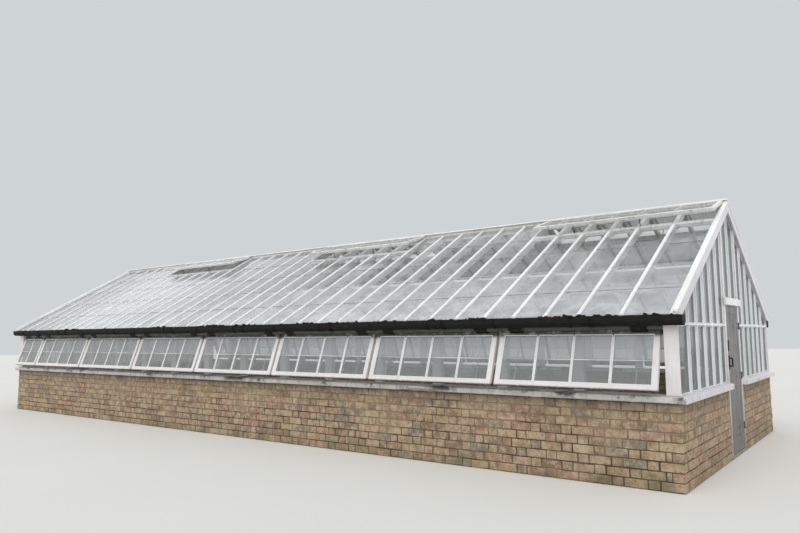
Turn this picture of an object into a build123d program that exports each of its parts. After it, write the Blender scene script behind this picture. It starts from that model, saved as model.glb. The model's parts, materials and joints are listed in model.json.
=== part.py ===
from build123d import *
from math import cos, sin, tan, radians
import os

# Timber greenhouse on a low brick wall, in millimetres.
# X runs along the ridge towards the door gable, -Y is the long front, Z is up from the ground.
# The origin is the middle of the footprint at ground level.

# Sizes on plan
sash_count = 7
sash_bay = 1808
corner_zone = 150
door_opening = 706
jamb_width = 62
gable_pane_pitch = 342
gable_bars_beside_door = 5
corner_pane = 436

# Heights from the ground
brick_height = 835
sill_thickness = 75
sash_hinge_height = 1545
eaves_plate_height = 164
transom_rise = 52
door_head_height = 1842

# Roof
roof_pitch = 29.2
rafter_width = 45
rafter_depth = 95
rafter_seat = 55
eaves_overhang = 90
rafter_tail_depth = 34
verge_bay = 510
second_bay = 450
inner_bay_count = 32
fin_width = 25
fin_height = 16
ridge_board_thickness = 32
ridge_cap_width = 100
ridge_cap_thickness = 18
ridge_cap_bevel = 10
purlin_width = 50
purlin_depth = 95
purlin_run = 1080
barge_depth = 115
barge_thickness = 28
barge_foot_gap = 3
barge_joint = 0.2
verge_cap_lap = 12
verge_cap_overhang = 6
verge_cap_thickness = 20

# Walls and sill
brick_thickness = 225
sill_projection = 60
sill_inside = 170
sill_fall = 12
floor_thickness = 45

# Side framing
corner_post_width = 135
corner_post_edge = 28
post_width = 122
post_depth = 70
eaves_plate_depth = 75
plate_lip = 30

# Opening side sashes
sash_gap = 45
sash_setback = 45
sash_height = 618
sash_thickness = 45
sash_stile = 60
sash_top_rail = 50
sash_bottom_rail = 58
sash_bar = 26
sash_lights = 4
end_sash_lights = 2
sash_opening = 19.5
sash_head_gap = 0.3
rebate = 8
rebate_depth = 14
glass_thickness = 4
glass_play = 1
glass_overhang = 15

# Ridge vents
vent_length = 570
vent_thickness = 38
vent_setback = 30
vent_opening = 11.5
vent_stile = 55
vent_bottom_rail = 70
vent_count = 3
vent_bay_count = 6
vent_spacing_bays = 12
vent_side_gap = 12
vent_head_gap = 0.5
seat_width = 45

# Glazed gables
bar_width = 30
bar_nose = 18
bar_depth = 62
bar_nose_depth = 30
transom_height = 28
jamb_depth = 75
door_head_depth = 75
door_head_rail = 45

# Door
door_thickness = 36
door_gap = 7
door_top_gap = 7
door_bottom_gap = 8
door_stop_width = 14
door_stop_gap = 5
door_stop_thickness = 12
door_stile = 105
door_top_rail = 100
door_mid_rail = 170
door_mid_rail_level = 915
door_bottom_rail = 190
door_panel_recess = 8
hood_width = 870
hood_height = 94
hood_projection = 32
hood_fall = 14
hood_clearance = 6
hinge_bottom_inset = 277
hinge_top_inset = 245
hinge_barrel_radius = 7
hinge_pin_radius = 4
hinge_barrel_length = 84
hinge_leaf_thickness = 4
hinge_leaf_width = 45
hinge_leaf_start = 12
hinge_strap_length = 330
hinge_strap_tip = 18
hinge_play = 0.3
latch_level = 1150
latch_height = 170
latch_width = 42
latch_thickness = 7
latch_edge = 6
hasp_level = 1350
hasp_height = 130
handle_reach = 38
handle_thickness = 16
handle_height = 110
handle_arm_height = 14

# Rainwater
gutter_radius = 60
gutter_side = 42
gutter_wall = 4
gutter_drop = 26
gutter_end_reach = 80
gutter_rear_reach = 10
gutter_stand_off = 5
bracket_width = 28
bracket_thickness = 5
bracket_upstand = 80
bracket_gap = 0.3
bracket_sides = 6

house_length = sash_count * sash_bay + sash_bay / 2 + 2 * corner_zone
jamb_centre = door_opening / 2 + jamb_width / 2
house_width = 2 * (jamb_centre + gable_bars_beside_door * gable_pane_pitch + corner_pane)
half_length = house_length / 2
half_width = house_width / 2
sill_top = brick_height + sill_thickness
transom_level = sash_hinge_height + transom_rise
slope_rise = tan(radians(roof_pitch))
slope_cos = cos(radians(roof_pitch))
slope_sin = sin(radians(roof_pitch))
plate_bottom = sash_hinge_height + sash_head_gap
plate_top = plate_bottom + eaves_plate_height
ridge_level = plate_top + rafter_seat + half_width * slope_rise
inner_bay = (house_length - 2 * (verge_bay + second_bay)) / inner_bay_count
gutter_top = plate_top - gutter_drop
glass_level = fin_height / slope_cos
door_edge = door_opening / 2 - door_gap
door_bottom = floor_thickness + door_bottom_gap
door_top = door_head_height - door_top_gap
lowest_hinge = door_bottom + hinge_bottom_inset
highest_hinge = door_top - hinge_top_inset
hinge_levels = [lowest_hinge, (lowest_hinge + highest_hinge) / 2, highest_hinge]
vent_first_bars = [vent_spacing_bays * vent for vent in range(vent_count)]


def along_x(outline, low, high):
    """A straight piece along X: outline gives its section as (y, z) points."""
    face = Plane.YZ.offset(low) * Polygon(*outline, align=None)
    return extrude(face, amount=high - low, dir=(1, 0, 0))


def along_y(outline, low, high):
    """A straight piece along Y: outline gives its section as (x, z) points."""
    face = Plane.XZ.offset(-low) * Polygon(*outline, align=None)
    return extrude(face, amount=high - low, dir=(0, 1, 0))


def along_z(outline, low, high):
    """A straight piece along Z: outline gives its section as (x, y) points."""
    face = Plane.XY.offset(low) * Polygon(*outline, align=None)
    return extrude(face, amount=high - low, dir=(0, 0, 1))


def rectangle(low_u, high_u, low_v, high_v):
    return [(low_u, low_v), (high_u, low_v), (high_u, high_v), (low_u, high_v)]


def slab(x, y, z):
    """A square-edged piece between the two limits given for each axis."""
    return along_z(rectangle(x[0], x[1], y[0], y[1]), z[0], z[1])


def to_rear(piece):
    """The same piece on the rear side of the ridge."""
    return mirror(piece, about=Plane.XZ)


def to_far_gable(piece):
    """The same piece at the gable away from the door."""
    return mirror(piece, about=Plane.YZ)


def roof_height(distance):
    """Level of the top of the roof bars at a plan distance from the ridge."""
    return ridge_level - distance * slope_rise


def under_rafter(distance):
    """Level of the underside of the roof bars, which is the bottom of the ridge board in the middle."""
    return roof_height(max(distance, ridge_board_thickness / 2)) - rafter_depth / slope_cos


def save(name, *pieces):
    solids = [solid for piece in pieces for solid in piece.solids()]
    export_step(Compound(solids), "parts/" + name + ".step")


def bar_positions():
    """X of every roof bar, from the door gable to the far gable."""
    places = [half_length - rafter_width / 2]
    x = half_length - verge_bay
    places.append(x)
    x = x - second_bay
    for bay in range(inner_bay_count + 1):
        places.append(x - bay * inner_bay)
    places.append(-half_length + verge_bay)
    places.append(-half_length + rafter_width / 2)
    return places


def brick_walls():
    inner_x = half_length - brick_thickness
    inner_y = half_width - brick_thickness
    jamb_edge = door_opening / 2 + jamb_width
    rise = (0, brick_height)
    front = slab((-half_length, half_length), (-half_width, -inner_y), rise)
    left_of_door = slab((inner_x, half_length), (-inner_y, -jamb_edge), rise)
    far = slab((-half_length, -inner_x), (-inner_y, inner_y), rise)
    save("brick_wall_front", front)
    save("brick_wall_rear", to_rear(front))
    save("brick_wall_left_of_door", left_of_door)
    save("brick_wall_right_of_door", to_rear(left_of_door))
    save("brick_wall_far_gable", far)


def floor():
    inner_x = half_length - brick_thickness
    inner_y = half_width - brick_thickness
    inside = slab((-inner_x, inner_x), (-inner_y, inner_y), (0, floor_thickness))
    jamb_edge = door_opening / 2 + jamb_width
    doorway = slab((inner_x, half_length - jamb_depth), (-jamb_edge, jamb_edge), (0, floor_thickness))
    step = door_opening / 2
    threshold = slab((half_length - jamb_depth, half_length), (-step, step), (0, floor_thickness))
    save("concrete_floor", inside + doorway + threshold)


def sills():
    """One ring of sill, weathered on top outside the frame and mitred at the corners."""
    out_x = half_length + sill_projection
    out_y = half_width + sill_projection
    edge = sill_top - sill_fall

    def weathered(outer, frame):
        return [(-outer, brick_height), (outer, brick_height), (outer, edge), (frame, sill_top),
                (-frame, sill_top), (-outer, edge)]

    ring = along_x(weathered(out_y, half_width), -out_x, out_x)
    ring = ring & along_y(weathered(out_x, half_length), -out_y, out_y)
    in_x = half_length - sill_inside
    in_y = half_width - sill_inside
    ring = ring - slab((-in_x, in_x), (-in_y, in_y), (0, 2 * sill_top))
    front_part = along_z([(-out_x, -out_y), (out_x, -out_y), (in_x, -in_y), (-in_x, -in_y)], 0, 2 * sill_top)
    gable_part = along_z([(out_x, -out_y), (out_x, out_y), (in_x, in_y), (in_x, -in_y)], 0, 2 * sill_top)
    front = ring & front_part
    gable = ring & gable_part
    jamb_edge = door_opening / 2 + jamb_width
    left = gable - slab((0, 2 * out_x), (-jamb_edge, 2 * out_y), (0, 2 * sill_top))
    save("sill_front", front)
    save("sill_rear", to_rear(front))
    save("sill_left_of_door", left)
    save("sill_right_of_door", to_rear(left))
    save("sill_far_gable", to_far_gable(gable))


def corner_post():
    """The post at the near corner, rebated for the edge of the gable glass."""
    inner_x = half_length - corner_post_width
    inner_y = -half_width + eaves_plate_depth
    edge = -half_width + corner_post_edge
    bed = half_length - bar_nose_depth
    section = [(inner_x, -half_width), (half_length, -half_width), (half_length, edge), (bed, edge),
               (bed, inner_y), (inner_x, inner_y)]
    return along_z(section, sill_top, plate_top)


def side_posts():
    """Corner posts flush with both faces, and posts set back behind the sashes at every half bay."""
    corner = corner_post()
    save("corner_posts", corner, to_rear(corner), to_far_gable(corner), to_rear(to_far_gable(corner)))
    first = half_length - corner_zone
    back = -half_width + sash_setback + sash_thickness + hinge_play
    posts = []
    for half_bay in range(1, 2 * sash_count + 1):
        x = first - half_bay * sash_bay / 2
        posts.append(slab((x - post_width / 2, x + post_width / 2),
                          (back, back + post_depth), (sill_top, plate_bottom)))
    save("side_posts_front", *posts)
    save("side_posts_rear", *[to_rear(post) for post in posts])
    inner = -half_width + eaves_plate_depth
    deep = back + post_depth
    plate = along_x([(-half_width, plate_bottom), (deep, plate_bottom), (deep, plate_bottom + plate_lip),
                     (inner, plate_bottom + plate_lip), (inner, plate_top), (-half_width, plate_top)],
                    -half_length + corner_post_width, half_length - corner_post_width)
    save("eaves_plate_front", plate)
    save("eaves_plate_rear", to_rear(plate))


def rafter(x):
    """A deep roof bar with a rebate each side of its top fin, notched over the eaves plate."""
    tail = half_width + eaves_overhang
    shoulder = glass_level
    under = rafter_depth / slope_cos
    head = ridge_board_thickness / 2
    seat_end = half_width - (under - rafter_seat) / slope_rise
    stem = [(-head, roof_height(head) - shoulder), (-tail, roof_height(tail) - shoulder),
            (-tail, roof_height(tail) - rafter_tail_depth), (-half_width, plate_top),
            (-seat_end, plate_top), (-head, roof_height(head) - under)]
    fin = [(-head, roof_height(head)), (-tail, roof_height(tail)),
           (-tail, roof_height(tail) - shoulder), (-head, roof_height(head) - shoulder)]
    body = along_x(stem, x - rafter_width / 2, x + rafter_width / 2)
    return body + along_x(fin, x - fin_width / 2, x + fin_width / 2)


def roof_frame():
    rafters = [rafter(x) for x in bar_positions()]
    save("rafters_front", *rafters)
    save("rafters_rear", *[to_rear(piece) for piece in rafters])

    run = half_width - purlin_run
    under = rafter_depth / slope_cos
    top = roof_height(run) - under
    section = [(-run, top),
               (-run - purlin_width * slope_cos, top - purlin_width * slope_sin),
               (-run - purlin_width * slope_cos + purlin_depth * slope_sin,
                top - purlin_width * slope_sin - purlin_depth * slope_cos),
               (-run + purlin_depth * slope_sin, top - purlin_depth * slope_cos)]
    purlin = along_x(section, -half_length + bar_depth, half_length - bar_depth)
    save("purlins", purlin, to_rear(purlin))

    head = ridge_board_thickness / 2
    cap_bottom = ridge_cap_level()
    ridge = slab((-half_length, half_length), (-head, head), (under_rafter(head), cap_bottom))
    save("ridge_board", ridge)
    half_cap = ridge_cap_width / 2
    reach = half_length + barge_thickness
    cap_top = cap_bottom + ridge_cap_thickness
    cap = along_x([(-half_cap, cap_bottom), (half_cap, cap_bottom), (half_cap - ridge_cap_bevel, cap_top),
                   (-half_cap + ridge_cap_bevel, cap_top)], -reach, reach)
    save("ridge_cap", cap)


def ridge_cap_level():
    """The capping lies just above the top corners of the ridge vents."""
    return vent_hinge()[1] + vent_head_gap


def barge_boards():
    """A raking board on the outside of each verge, cut plumb at the eaves and at the ridge."""
    tail = half_width + eaves_overhang
    fall = barge_depth / slope_cos
    foot = gutter_top + barge_foot_gap
    knee = (ridge_level - fall - foot) / slope_rise
    face = [(-barge_joint, roof_height(barge_joint)), (-tail, roof_height(tail)), (-tail, foot), (-knee, foot),
            (-barge_joint, roof_height(barge_joint) - fall)]
    board = along_x(face, half_length, half_length + barge_thickness)
    save("barge_boards_front", board, to_far_gable(board))
    save("barge_boards_rear", to_rear(board), to_rear(to_far_gable(board)))

    rise = verge_cap_thickness / slope_cos
    crown = ridge_cap_width / 2 + barge_joint
    strip = [(-crown, roof_height(crown)), (-tail, roof_height(tail)), (-tail, roof_height(tail) + rise),
             (-crown, roof_height(crown) + rise)]
    cap = along_x(strip, half_length - verge_cap_lap, half_length + barge_thickness + verge_cap_overhang)
    save("verge_caps_front", cap, to_far_gable(cap))
    save("verge_caps_rear", to_rear(cap), to_rear(to_far_gable(cap)))


def vent_hinge():
    """Top outer corner of a vent, as (distance from the ridge, level)."""
    along = vent_setback * slope_cos + vent_thickness * slope_sin
    level = ridge_level - vent_setback * slope_sin + vent_thickness * slope_cos
    return along, level


def ridge_vents():
    places = bar_positions()
    along, level = vent_hinge()
    frames = []
    panes = []
    for first in vent_first_bars:
        high = min(places[first] + rafter_width / 2, half_length - verge_cap_lap) - vent_side_gap / 2
        low = places[first + vent_bay_count] + rafter_width / 2 + vent_side_gap / 2
        frame = slab((low, high), (-vent_length, 0), (0, vent_thickness))
        edges = [high - vent_stile + sash_bar / 2]
        edges += places[first + 1:first + vent_bay_count]
        edges += [low + vent_stile - sash_bar / 2]
        for right, left in zip(edges[:-1], edges[1:]):
            x = (left + sash_bar / 2, right - sash_bar / 2)
            y = (-vent_length + vent_bottom_rail, -vent_stile)
            frame = frame - slab(x, y, (-1, vent_thickness + 1))
            frame = frame - slab((x[0] - rebate, x[1] + rebate), (y[0] - rebate, y[1] + rebate),
                                 (vent_thickness - rebate_depth, vent_thickness + 1))
            fit = rebate - glass_play
            bed = vent_thickness - rebate_depth
            panes.append(slab((x[0] - fit, x[1] + fit), (y[0] - fit, y[1] + fit), (bed, bed + glass_thickness)))
        frames.append(frame)
    place = Pos(0, -along, level) * Rot(roof_pitch - vent_opening, 0, 0) * Pos(0, 0, -vent_thickness)
    frames = [place * frame for frame in frames]
    panes = [place * pane for pane in panes]
    save("ridge_vents_front", *frames)
    save("ridge_vents_rear", *[to_rear(frame) for frame in frames])
    save("vent_glass_front", *panes)
    save("vent_glass_rear", *[to_rear(pane) for pane in panes])

    seats = []
    top = vent_setback + vent_length
    for first in vent_first_bars:
        for bar in range(first, first + vent_bay_count):
            low = places[bar + 1] + rafter_width / 2
            high = places[bar] - rafter_width / 2
            near = (top - seat_width) * slope_cos
            far = top * slope_cos
            drop = rafter_depth / 2 / slope_cos
            section = [(-near, roof_height(near)), (-far, roof_height(far)),
                       (-far, roof_height(far) - drop), (-near, roof_height(near) - drop)]
            seats.append(along_x(section, low, high))
    save("vent_seats_front", *seats)
    save("vent_seats_rear", *[to_rear(seat) for seat in seats])


def roof_glass():
    """One run of glass in each bay, resting in the rebates, and stopping below the vents."""
    places = bar_positions()
    tail = half_width + eaves_overhang + glass_overhang
    ridge_face = ridge_board_thickness / 2 + glass_play
    seat_foot = (vent_setback + vent_length) * slope_cos
    vented = [bar for first in vent_first_bars for bar in range(first, first + vent_bay_count)]
    sheets = []
    for bay in range(len(places) - 1):
        head = seat_foot + glass_play if bay in vented else ridge_face
        bed = glass_level
        face = bed - glass_thickness / slope_cos
        section = [(-head, roof_height(head) - face), (-tail, roof_height(tail) - face),
                   (-tail, roof_height(tail) - bed), (-head, roof_height(head) - bed)]
        low = places[bay + 1] + fin_width / 2 + glass_play
        high = places[bay] - fin_width / 2 - glass_play
        sheets.append(along_x(section, low, high))
    save("roof_glass_front", *sheets)
    save("roof_glass_rear", *[to_rear(sheet) for sheet in sheets])


def side_sashes():
    """Top-hung lights along the front, with a half-width one at the far end, all propped open alike."""
    frames = []
    panes = []
    edge = half_length - corner_zone
    for bay, lights in [(sash_bay, sash_lights)] * sash_count + [(sash_bay / 2, end_sash_lights)]:
        x = edge - bay / 2
        edge = edge - bay
        width = bay - sash_gap
        light_pitch = (width - 2 * sash_stile + sash_bar) / lights
        frame = slab((x - width / 2, x + width / 2), (0, sash_thickness), (-sash_height, 0))
        start = x - width / 2 + sash_stile
        for light in range(lights):
            low = start + light * light_pitch
            high = low + light_pitch - sash_bar
            z = (-sash_height + sash_bottom_rail, -sash_top_rail)
            frame = frame - slab((low, high), (-1, sash_thickness + 1), z)
            frame = frame - slab((low - rebate, high + rebate), (-1, rebate_depth),
                                 (z[0] - rebate, z[1] + rebate))
            fit = rebate - glass_play
            panes.append(slab((low - fit, high + fit), (rebate_depth - glass_thickness, rebate_depth),
                              (z[0] - fit, z[1] + fit)))
        frames.append(frame)
    place = Pos(0, -half_width + sash_setback, sash_hinge_height) * Rot(-sash_opening, 0, 0)
    frames = [place * frame for frame in frames]
    panes = [place * pane for pane in panes]
    save("side_sashes_front", *frames)
    save("side_sashes_rear", *[to_rear(frame) for frame in frames])
    save("sash_glass_front", *panes)
    save("sash_glass_rear", *[to_rear(pane) for pane in panes])


def gable_bar(y):
    """An upright glazing bar with a narrow nose outside and a wider body inside."""
    outer = half_length
    bed = outer - bar_nose_depth
    inner = outer - bar_depth
    nose = bar_nose / 2
    body = bar_width / 2
    section = [(inner, y - body), (bed, y - body), (bed, y - nose), (outer, y - nose),
               (outer, y + nose), (bed, y + nose), (bed, y + body), (inner, y + body)]
    return section


def gable_region(low, high, bottom, shrink):
    """Outline in the gable under the raking bars between two distances from the middle line."""
    if low < 0 < high:
        head = ridge_board_thickness / 2
        return [(low, bottom), (high, bottom), (high, under_rafter(high) - shrink),
                (head, under_rafter(head) - shrink), (-head, under_rafter(head) - shrink),
                (low, under_rafter(-low) - shrink)]
    return [(low, bottom), (high, bottom), (high, under_rafter(abs(high)) - shrink),
            (low, under_rafter(abs(low)) - shrink)]


def gable_lattice(low, high, bottom, bar_places, with_transom):
    """Bars and transom of one glazed panel, trimmed to the slope, and the panes between them."""
    room = along_x(gable_region(low, high, bottom, 0), half_length - 2 * bar_depth, half_length + 1)
    bed = half_length - bar_nose_depth
    pieces = None
    for y in bar_places:
        bar = along_z(gable_bar(y), bottom, ridge_level)
        pieces = bar if pieces is None else pieces + bar
    if with_transom:
        half = transom_height / 2
        nose = bar_nose / 2
        z = transom_level
        section = [(half_length - bar_depth, z - half), (bed, z - half), (bed, z - nose), (half_length, z - nose),
                   (half_length, z + nose), (bed, z + nose), (bed, z + half), (half_length - bar_depth, z + half)]
        pieces = pieces + along_y(section, low, high)
    lattice = pieces & room
    panes = []
    edges = [low] + list(bar_places) + [high]
    for index in range(len(edges) - 1):
        left_bar = edges[index] in bar_places
        right_bar = edges[index + 1] in bar_places
        left = edges[index] + (bar_nose / 2 + glass_play if left_bar else glass_play)
        right = edges[index + 1] - (bar_nose / 2 + glass_play if right_bar else glass_play)
        upper_from = bottom
        if with_transom:
            lower = rectangle(left, right, bottom + glass_play, transom_level - bar_nose / 2 - glass_play)
            panes.append(along_x(lower, bed, bed + glass_thickness))
            upper_from = transom_level + bar_nose / 2
        outline = gable_region(left, right, upper_from + glass_play, glass_play)
        if min(level for across, level in outline) == upper_from + glass_play:
            panes.append(along_x(outline, bed, bed + glass_thickness))
    return lattice, panes


def gables():
    corner = half_width - corner_post_edge
    posts = corner_post() + to_rear(corner_post())
    jamb_edge = door_opening / 2 + jamb_width
    beside = [-(jamb_centre + step * gable_pane_pitch) for step in range(gable_bars_beside_door, 0, -1)]
    side, side_panes = gable_lattice(-corner, -jamb_edge, sill_top, beside, True)
    side = side - posts
    save("gable_bars_left_of_door", side)
    save("gable_bars_right_of_door", to_rear(side))
    head_top = door_head_height + door_head_rail
    over, over_panes = gable_lattice(-door_opening / 2, door_opening / 2, head_top, [0], False)
    save("gable_bars_over_door", over)
    save("gable_glass_door_end", *side_panes, *[to_rear(pane) for pane in side_panes], *over_panes)

    all_bars = beside + [-jamb_centre, 0, jamb_centre] + [-y for y in reversed(beside)]
    far, far_panes = gable_lattice(-corner, corner, sill_top, all_bars, True)
    far = far - posts
    save("gable_bars_far_end", to_far_gable(far))
    save("gable_glass_far_end", *[to_far_gable(pane) for pane in far_panes])


def door_frame():
    low = -jamb_centre - jamb_width / 2
    high = -jamb_centre + jamb_width / 2
    outline = [(low, 0), (high, 0), (high, under_rafter(-high)), (low, under_rafter(-low))]
    jamb = along_x(outline, half_length - jamb_depth, half_length)
    stop_out = half_length - door_thickness - door_stop_gap
    stop = slab((stop_out - door_stop_thickness, stop_out), (high, high + door_stop_width),
                (floor_thickness, door_head_height))
    save("door_jambs", jamb, to_rear(jamb))
    save("door_stops", stop, to_rear(stop))
    half = door_opening / 2
    head = slab((half_length - door_head_depth, half_length), (-half, half),
                (door_head_height, door_head_height + door_head_rail))
    save("door_head", head)
    low_edge = door_head_height + hood_clearance
    face = half_length
    drip = [(face, low_edge), (face + hood_projection, low_edge),
            (face + hood_projection, low_edge + hood_height - hood_fall), (face, low_edge + hood_height)]
    save("door_hood", along_y(drip, -hood_width / 2, hood_width / 2))


def door():
    back = half_length - door_thickness
    leaf = slab((back, half_length), (-door_edge, door_edge), (door_bottom, door_top))
    panels = [(door_bottom + door_bottom_rail, door_mid_rail_level - door_mid_rail / 2),
              (door_mid_rail_level + door_mid_rail / 2, door_top - door_top_rail)]
    for z in panels:
        y = (-door_edge + door_stile, door_edge - door_stile)
        leaf = leaf - slab((half_length - door_panel_recess, half_length + 1), y, z)
        leaf = leaf - slab((back - 1, back + door_panel_recess), y, z)
    save("door_leaf", leaf)

    plate_y = (-door_edge + latch_edge, -door_edge + latch_edge + latch_width)
    face = (half_length, half_length + latch_thickness)
    lock = slab(face, plate_y, (latch_level - latch_height / 2, latch_level + latch_height / 2))
    middle = (plate_y[0] + plate_y[1]) / 2
    grip_y = (middle - handle_thickness / 2, middle + handle_thickness / 2)
    grip_low = latch_level - handle_height / 2
    grip_high = latch_level + handle_height / 2
    reach = half_length + latch_thickness + handle_reach
    grip = slab((reach - handle_thickness, reach), grip_y, (grip_low, grip_high))
    grip = grip + slab((half_length, reach), grip_y, (grip_low, grip_low + handle_arm_height))
    grip = grip + slab((half_length, reach), grip_y, (grip_high - handle_arm_height, grip_high))
    hasp = slab(face, plate_y, (hasp_level - hasp_height / 2, hasp_level + hasp_height / 2))
    save("door_latch", lock + grip, hasp)


def hinges():
    """Strap hinges: the middle knuckle turns with the door, the outer two stay on the jamb."""
    x = half_length + hinge_barrel_radius
    y = door_opening / 2 - door_gap / 2
    third = hinge_barrel_length / 3
    fixed = []
    moving = []
    for level in hinge_levels:
        pin = Pos(x, y, level) * Cylinder(hinge_pin_radius, hinge_barrel_length)
        for side in (-1, 1):
            knuckle = Pos(x, y, level + side * third) * Cylinder(hinge_barrel_radius, third)
            pin = pin + knuckle
            tab_z = (level + side * third - third / 2, level + side * third + third / 2)
            tab = slab((half_length, half_length + hinge_leaf_thickness), (y, y + hinge_leaf_width), tab_z)
            pin = pin + tab
        leaf_plate = slab((half_length, half_length + hinge_leaf_thickness),
                          (y + hinge_leaf_start, y + hinge_leaf_width),
                          (level - hinge_barrel_length / 2, level + hinge_barrel_length / 2))
        fixed.append(pin + leaf_plate)
        barrel = Cylinder(hinge_barrel_radius, third - 2 * hinge_play)
        strap = along_x([(y, level - third / 2 + hinge_play), (y, level + third / 2 - hinge_play),
                         (y - hinge_strap_length, level + hinge_strap_tip / 2),
                         (y - hinge_strap_length, level - hinge_strap_tip / 2)],
                        half_length, half_length + hinge_leaf_thickness)
        moving_part = Pos(x, y, level) * barrel + strap
        bore = Pos(x, y, level) * Cylinder(hinge_pin_radius + hinge_play, hinge_barrel_length)
        moving.append(moving_part - bore)
    save("door_hinge_jamb_leaves", *fixed)
    save("door_hinge_straps", *moving)


def gutter_section(radius):
    """Round bottom with straight sides above it."""
    half_disc = Circle(radius) & (Pos(0, -radius) * Rectangle(2 * radius, 2 * radius))
    return Pos(0, -gutter_side) * half_disc + Pos(0, -gutter_side / 2) * Rectangle(2 * radius, gutter_side)


def gutter(reach):
    """Deep round-bottomed channel with closed ends, reaching past both gables."""
    centre = half_width + gutter_stand_off + gutter_radius
    end_face = gutter_section(gutter_radius)
    channel_face = end_face - gutter_section(gutter_radius - gutter_wall)
    plane = Plane(origin=(-reach, -centre, gutter_top), x_dir=(0, 1, 0), z_dir=(1, 0, 0))
    near_plane = Plane(origin=(reach - gutter_wall, -centre, gutter_top), x_dir=(0, 1, 0), z_dir=(1, 0, 0))
    channel = extrude(plane * channel_face, amount=2 * reach, dir=(1, 0, 0))
    channel = channel + extrude(plane * end_face, amount=gutter_wall, dir=(1, 0, 0))
    return channel + extrude(near_plane * end_face, amount=gutter_wall, dir=(1, 0, 0))


def strap_bend(radius):
    """Points of a strap bent in flats round the gutter, just clear of its sides and of a bottom of this radius."""
    corner = radius / cos(radians(90 / bracket_sides))
    centre = half_width + gutter_stand_off + gutter_radius
    level = gutter_top - gutter_side
    turns = [radians(180 + 180 * step / bracket_sides) for step in range(bracket_sides + 1)]
    bend = [(corner * cos(turn) - centre, corner * sin(turn) + level) for turn in turns]
    return [(-corner - centre, gutter_top)] + bend + [(corner - centre, gutter_top)]


def gutters():
    """Gutters carried by strap brackets on the eaves plate."""
    save("gutter_front", gutter(half_length + gutter_end_reach))
    save("gutter_rear", to_rear(gutter(half_length + gutter_rear_reach)))

    inside = strap_bend(gutter_radius + bracket_gap)
    outside = strap_bend(gutter_radius + bracket_gap + bracket_thickness)
    brackets = []
    first = half_length - corner_zone
    for half_bay in range(2 * sash_count + 2):
        low = first - half_bay * sash_bay / 2 - bracket_width / 2
        high = low + bracket_width
        strap = along_x(outside + inside[::-1], low, high)
        strap = strap - slab((low - 1, high + 1), (-half_width, 0), (0, ridge_level))
        tab = slab((low, high), (-half_width - gutter_stand_off + bracket_gap, -half_width),
                   (gutter_top - bracket_upstand, gutter_top))
        brackets.append(strap + tab)
    save("gutter_brackets_front", *brackets)
    save("gutter_brackets_rear", *[to_rear(bracket) for bracket in brackets])


os.makedirs("parts", exist_ok=True)
brick_walls()
floor()
sills()
side_posts()
roof_frame()
barge_boards()
ridge_vents()
roof_glass()
side_sashes()
gables()
door_frame()
door()
hinges()
gutters()
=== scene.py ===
import json
from math import cos, pi, radians, sin
from random import Random

import bmesh
import bpy
from mathutils import Euler, Matrix, Vector

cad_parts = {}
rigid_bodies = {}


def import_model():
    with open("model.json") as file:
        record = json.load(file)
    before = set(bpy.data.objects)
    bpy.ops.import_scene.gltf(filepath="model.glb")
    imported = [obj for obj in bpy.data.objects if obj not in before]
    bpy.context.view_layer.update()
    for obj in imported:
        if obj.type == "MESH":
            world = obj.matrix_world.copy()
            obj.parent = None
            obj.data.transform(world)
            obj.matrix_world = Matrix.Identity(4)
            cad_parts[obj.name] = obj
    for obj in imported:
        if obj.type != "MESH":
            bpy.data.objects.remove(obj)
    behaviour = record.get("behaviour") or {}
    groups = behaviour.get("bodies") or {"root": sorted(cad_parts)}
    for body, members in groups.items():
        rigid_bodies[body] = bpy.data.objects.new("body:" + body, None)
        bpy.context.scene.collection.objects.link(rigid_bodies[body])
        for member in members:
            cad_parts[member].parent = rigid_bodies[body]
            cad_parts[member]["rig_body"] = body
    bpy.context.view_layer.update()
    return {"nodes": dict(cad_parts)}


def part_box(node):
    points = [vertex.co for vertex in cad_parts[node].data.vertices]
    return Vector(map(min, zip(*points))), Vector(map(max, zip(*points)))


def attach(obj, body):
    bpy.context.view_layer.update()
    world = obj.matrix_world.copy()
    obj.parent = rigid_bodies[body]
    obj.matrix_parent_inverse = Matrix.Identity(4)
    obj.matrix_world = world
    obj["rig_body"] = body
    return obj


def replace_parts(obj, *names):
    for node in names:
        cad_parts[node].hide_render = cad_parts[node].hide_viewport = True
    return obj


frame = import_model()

# Studio.
# A pale floor that runs on to the horizon, an even sky, and one broad lamp from the front corner.
# The camera stands at eye height beside the near corner of the house.


def feed(node, sockets):
    """Sets a node's inputs, or links those whose value comes from another node."""
    for key, value in sockets.items():
        if isinstance(value, bpy.types.NodeSocket):
            node.id_data.links.new(value, node.inputs[key])
        else:
            node.inputs[key].default_value = value


def add(tree, kind, sockets=None, **settings):
    """A new node in a tree, with its settings made and its inputs fed."""
    node = tree.nodes.new(kind)
    for name, value in settings.items():
        setattr(node, name, value)
    feed(node, sockets or {})
    return node


def out(tree, kind, sockets=None, **settings):
    """The first output of a new node."""
    return add(tree, kind, sockets, **settings).outputs[0]


def chip(red, green, blue):
    """A colour read from a paint chip in 0 to 255 steps, as linear light."""
    def linear(step):
        share = step / 255
        return share / 12.92 if share <= 0.04045 else ((share + 0.055) / 1.055) ** 2.4
    return (linear(red), linear(green), linear(blue), 1.0)


def fed(kind, sockets, **settings):
    """The outputs of a new node, in the tree of the sockets that feed it."""
    tree = next(value.id_data for value in sockets.values() if isinstance(value, bpy.types.NodeSocket))
    return add(tree, kind, sockets, **settings).outputs


def maths(operation, *values):
    return fed("ShaderNodeMath", dict(enumerate(values)), operation=operation)[0]


def larger(first, second):
    return maths("MAXIMUM", first, second)


def blend(share, first, second, blend_type="MIX"):
    """A colour between two others."""
    return fed("ShaderNodeMix", {0: share, 6: first, 7: second}, data_type="RGBA", blend_type=blend_type)[2]


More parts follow.
